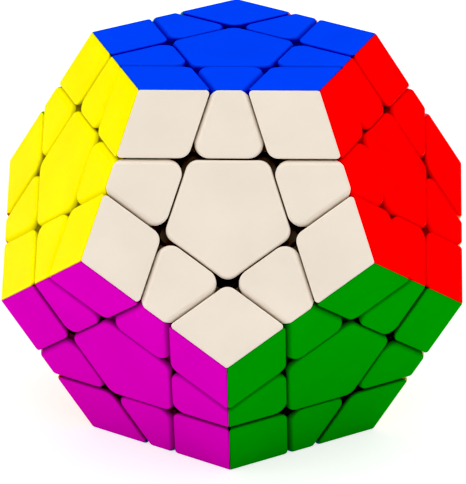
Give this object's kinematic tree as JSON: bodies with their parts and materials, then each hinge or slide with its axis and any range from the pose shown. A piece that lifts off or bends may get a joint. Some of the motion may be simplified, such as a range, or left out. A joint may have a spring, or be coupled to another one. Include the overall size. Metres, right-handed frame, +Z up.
{
  "type": "dodecahedron twisty puzzle",
  "caption": "Dodecahedron twisty puzzle in solid coloured plastic: each pentagonal face turns about a core that holds the centres, edges and corners.",
  "frame": {"origin": "on the ground under the middle of the puzzle, at the middle of the face it stands on", "axes": "+Z up along the axis of the blue and sky faces; -Y towards the side of the white face, which leans back 26.57 degrees; +X towards the side of the red face"},
  "size_m": [0.0864, 0.0908, 0.0735],
  "materials": {
    "blue": "moulded, slightly glossy",
    "white": "moulded, slightly glossy",
    "red": "moulded, slightly glossy",
    "pink": "moulded, slightly glossy",
    "lime": "moulded, slightly glossy",
    "yellow": "moulded, slightly glossy",
    "green": "moulded, slightly glossy",
    "cream": "moulded, slightly glossy",
    "grey": "moulded, slightly glossy",
    "orange": "moulded, slightly glossy",
    "purple": "moulded, slightly glossy",
    "sky": "moulded, slightly glossy",
    "black": "satin moulded",
    "steel": "zinc plated"
  },
  "bodies": {
    "core": {"core": "black", "edge_blue_red": "blue", "edge_blue_pink": "blue", "edge_blue_yellow": "blue", "edge_red_pink": "red", "edge_red_green": "red", "edge_red_cream": "red", "edge_pink_cream": "pink", "edge_pink_grey": "pink", "edge_yellow_orange": "yellow", "edge_yellow_purple": "yellow", "edge_green_cream": "green", "edge_green_purple": "green", "edge_cream_grey": "cream", "edge_grey_orange": "grey", "edge_orange_purple": "orange", "corner_blue_red_pink": "blue", "corner_red_pink_cream": "red", "corner_red_green_cream": "red", "corner_pink_cream_grey": "pink", "corner_yellow_orange_purple": "yellow"},
    "white_layer": {"edge_blue_white": "blue", "edge_white_red": "white", "edge_white_yellow": "white", "edge_white_green": "white", "edge_white_purple": "white", "corner_blue_white_red": "blue", "corner_blue_white_yellow": "blue", "corner_white_red_green": "white", "corner_white_yellow_purple": "white", "corner_white_green_purple": "white", "base_white": "black"},
    "lime_layer": {"edge_blue_lime": "blue", "edge_pink_lime": "pink", "edge_lime_yellow": "lime", "edge_lime_grey": "lime", "edge_lime_orange": "lime", "corner_blue_pink_lime": "blue", "corner_blue_lime_yellow": "blue", "corner_pink_lime_grey": "pink", "corner_lime_yellow_orange": "lime", "corner_lime_grey_orange": "lime", "base_lime": "black"},
    "sky_layer": {"edge_green_sky": "green", "edge_cream_sky": "cream", "edge_grey_sky": "grey", "edge_orange_sky": "orange", "edge_purple_sky": "purple", "corner_green_cream_sky": "green", "corner_green_purple_sky": "green", "corner_cream_grey_sky": "cream", "corner_grey_orange_sky": "grey", "corner_orange_purple_sky": "orange", "base_sky": "black", "cap_sky": "sky"},
    "white_cap": {"cap_white": "white"},
    "lime_cap": {"cap_lime": "lime"},
    "white_screw": {"screw_white": "steel"},
    "lime_screw": {"screw_lime": "steel"},
    "sky_screw": {"screw_sky": "steel"}
  },
  "joints": [
    {"name": "white_face_turn", "type": "hinge", "parent": "core", "child": "white_layer", "pos_m": [0, 0, 0.03675], "axis": [0, -0.8944, 0.4472], "continuous": true},
    {"name": "lime_face_turn", "type": "hinge", "parent": "core", "child": "lime_layer", "pos_m": [0, 0, 0.03675], "axis": [-0.5257, 0.7236, 0.4472], "continuous": true},
    {"name": "sky_face_turn", "type": "hinge", "parent": "core", "child": "sky_layer", "pos_m": [0, 0, 0.03675], "axis": [0, 0, -1], "continuous": true},
    {"name": "white_cap_pull", "type": "slide", "parent": "white_layer", "child": "white_cap", "axis": [0, -0.8944, 0.4472], "range_m": [0, 0.015]},
    {"name": "lime_cap_pull", "type": "slide", "parent": "lime_layer", "child": "lime_cap", "axis": [-0.5257, 0.7236, 0.4472], "range_m": [0, 0.015]},
    {"name": "white_screw_turn", "type": "hinge", "parent": "core", "child": "white_screw", "pos_m": [0, 0, 0.03675], "axis": [0, -0.8944, 0.4472], "range_deg": [-360, 360]},
    {"name": "lime_screw_turn", "type": "hinge", "parent": "core", "child": "lime_screw", "pos_m": [0, 0, 0.03675], "axis": [-0.5257, 0.7236, 0.4472], "range_deg": [-360, 360]},
    {"name": "sky_screw_turn", "type": "hinge", "parent": "core", "child": "sky_screw", "pos_m": [0, 0, 0.03675], "axis": [0, 0, -1], "range_deg": [-360, 360]}
  ]
}
